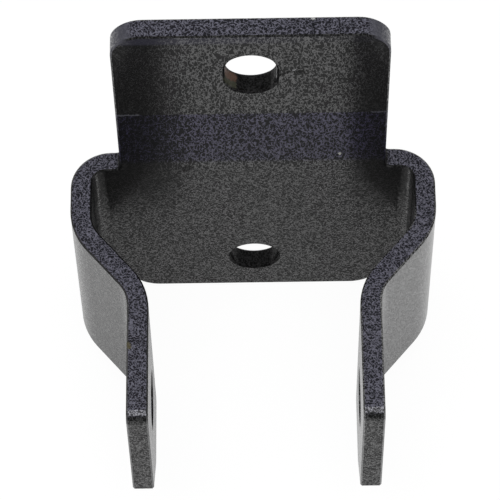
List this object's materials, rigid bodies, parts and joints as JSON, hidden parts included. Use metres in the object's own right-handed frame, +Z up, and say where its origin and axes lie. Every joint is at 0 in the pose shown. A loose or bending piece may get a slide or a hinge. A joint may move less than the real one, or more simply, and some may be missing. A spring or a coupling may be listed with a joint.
{
  "type": "u bracket",
  "caption": "Folded steel plate U bracket: an upright plate with a bolt hole and a bolt slot, and joggled side arms that make a clevis for a cross pin.",
  "frame": {"origin": "on the flat back face, in the middle of the width, level with the top edge of the wings and arms", "axes": "+Z up along the upright plate, -Y the way the arms point, X across the bracket along the pin hole"},
  "size_m": [0.109, 0.0895, 0.146],
  "materials": {
    "coat": "dark charcoal hammertone powder coat, satin, with a fine vein texture"
  },
  "bodies": {
    "root": {"bracket": "coat"}
  },
  "joints": []
}
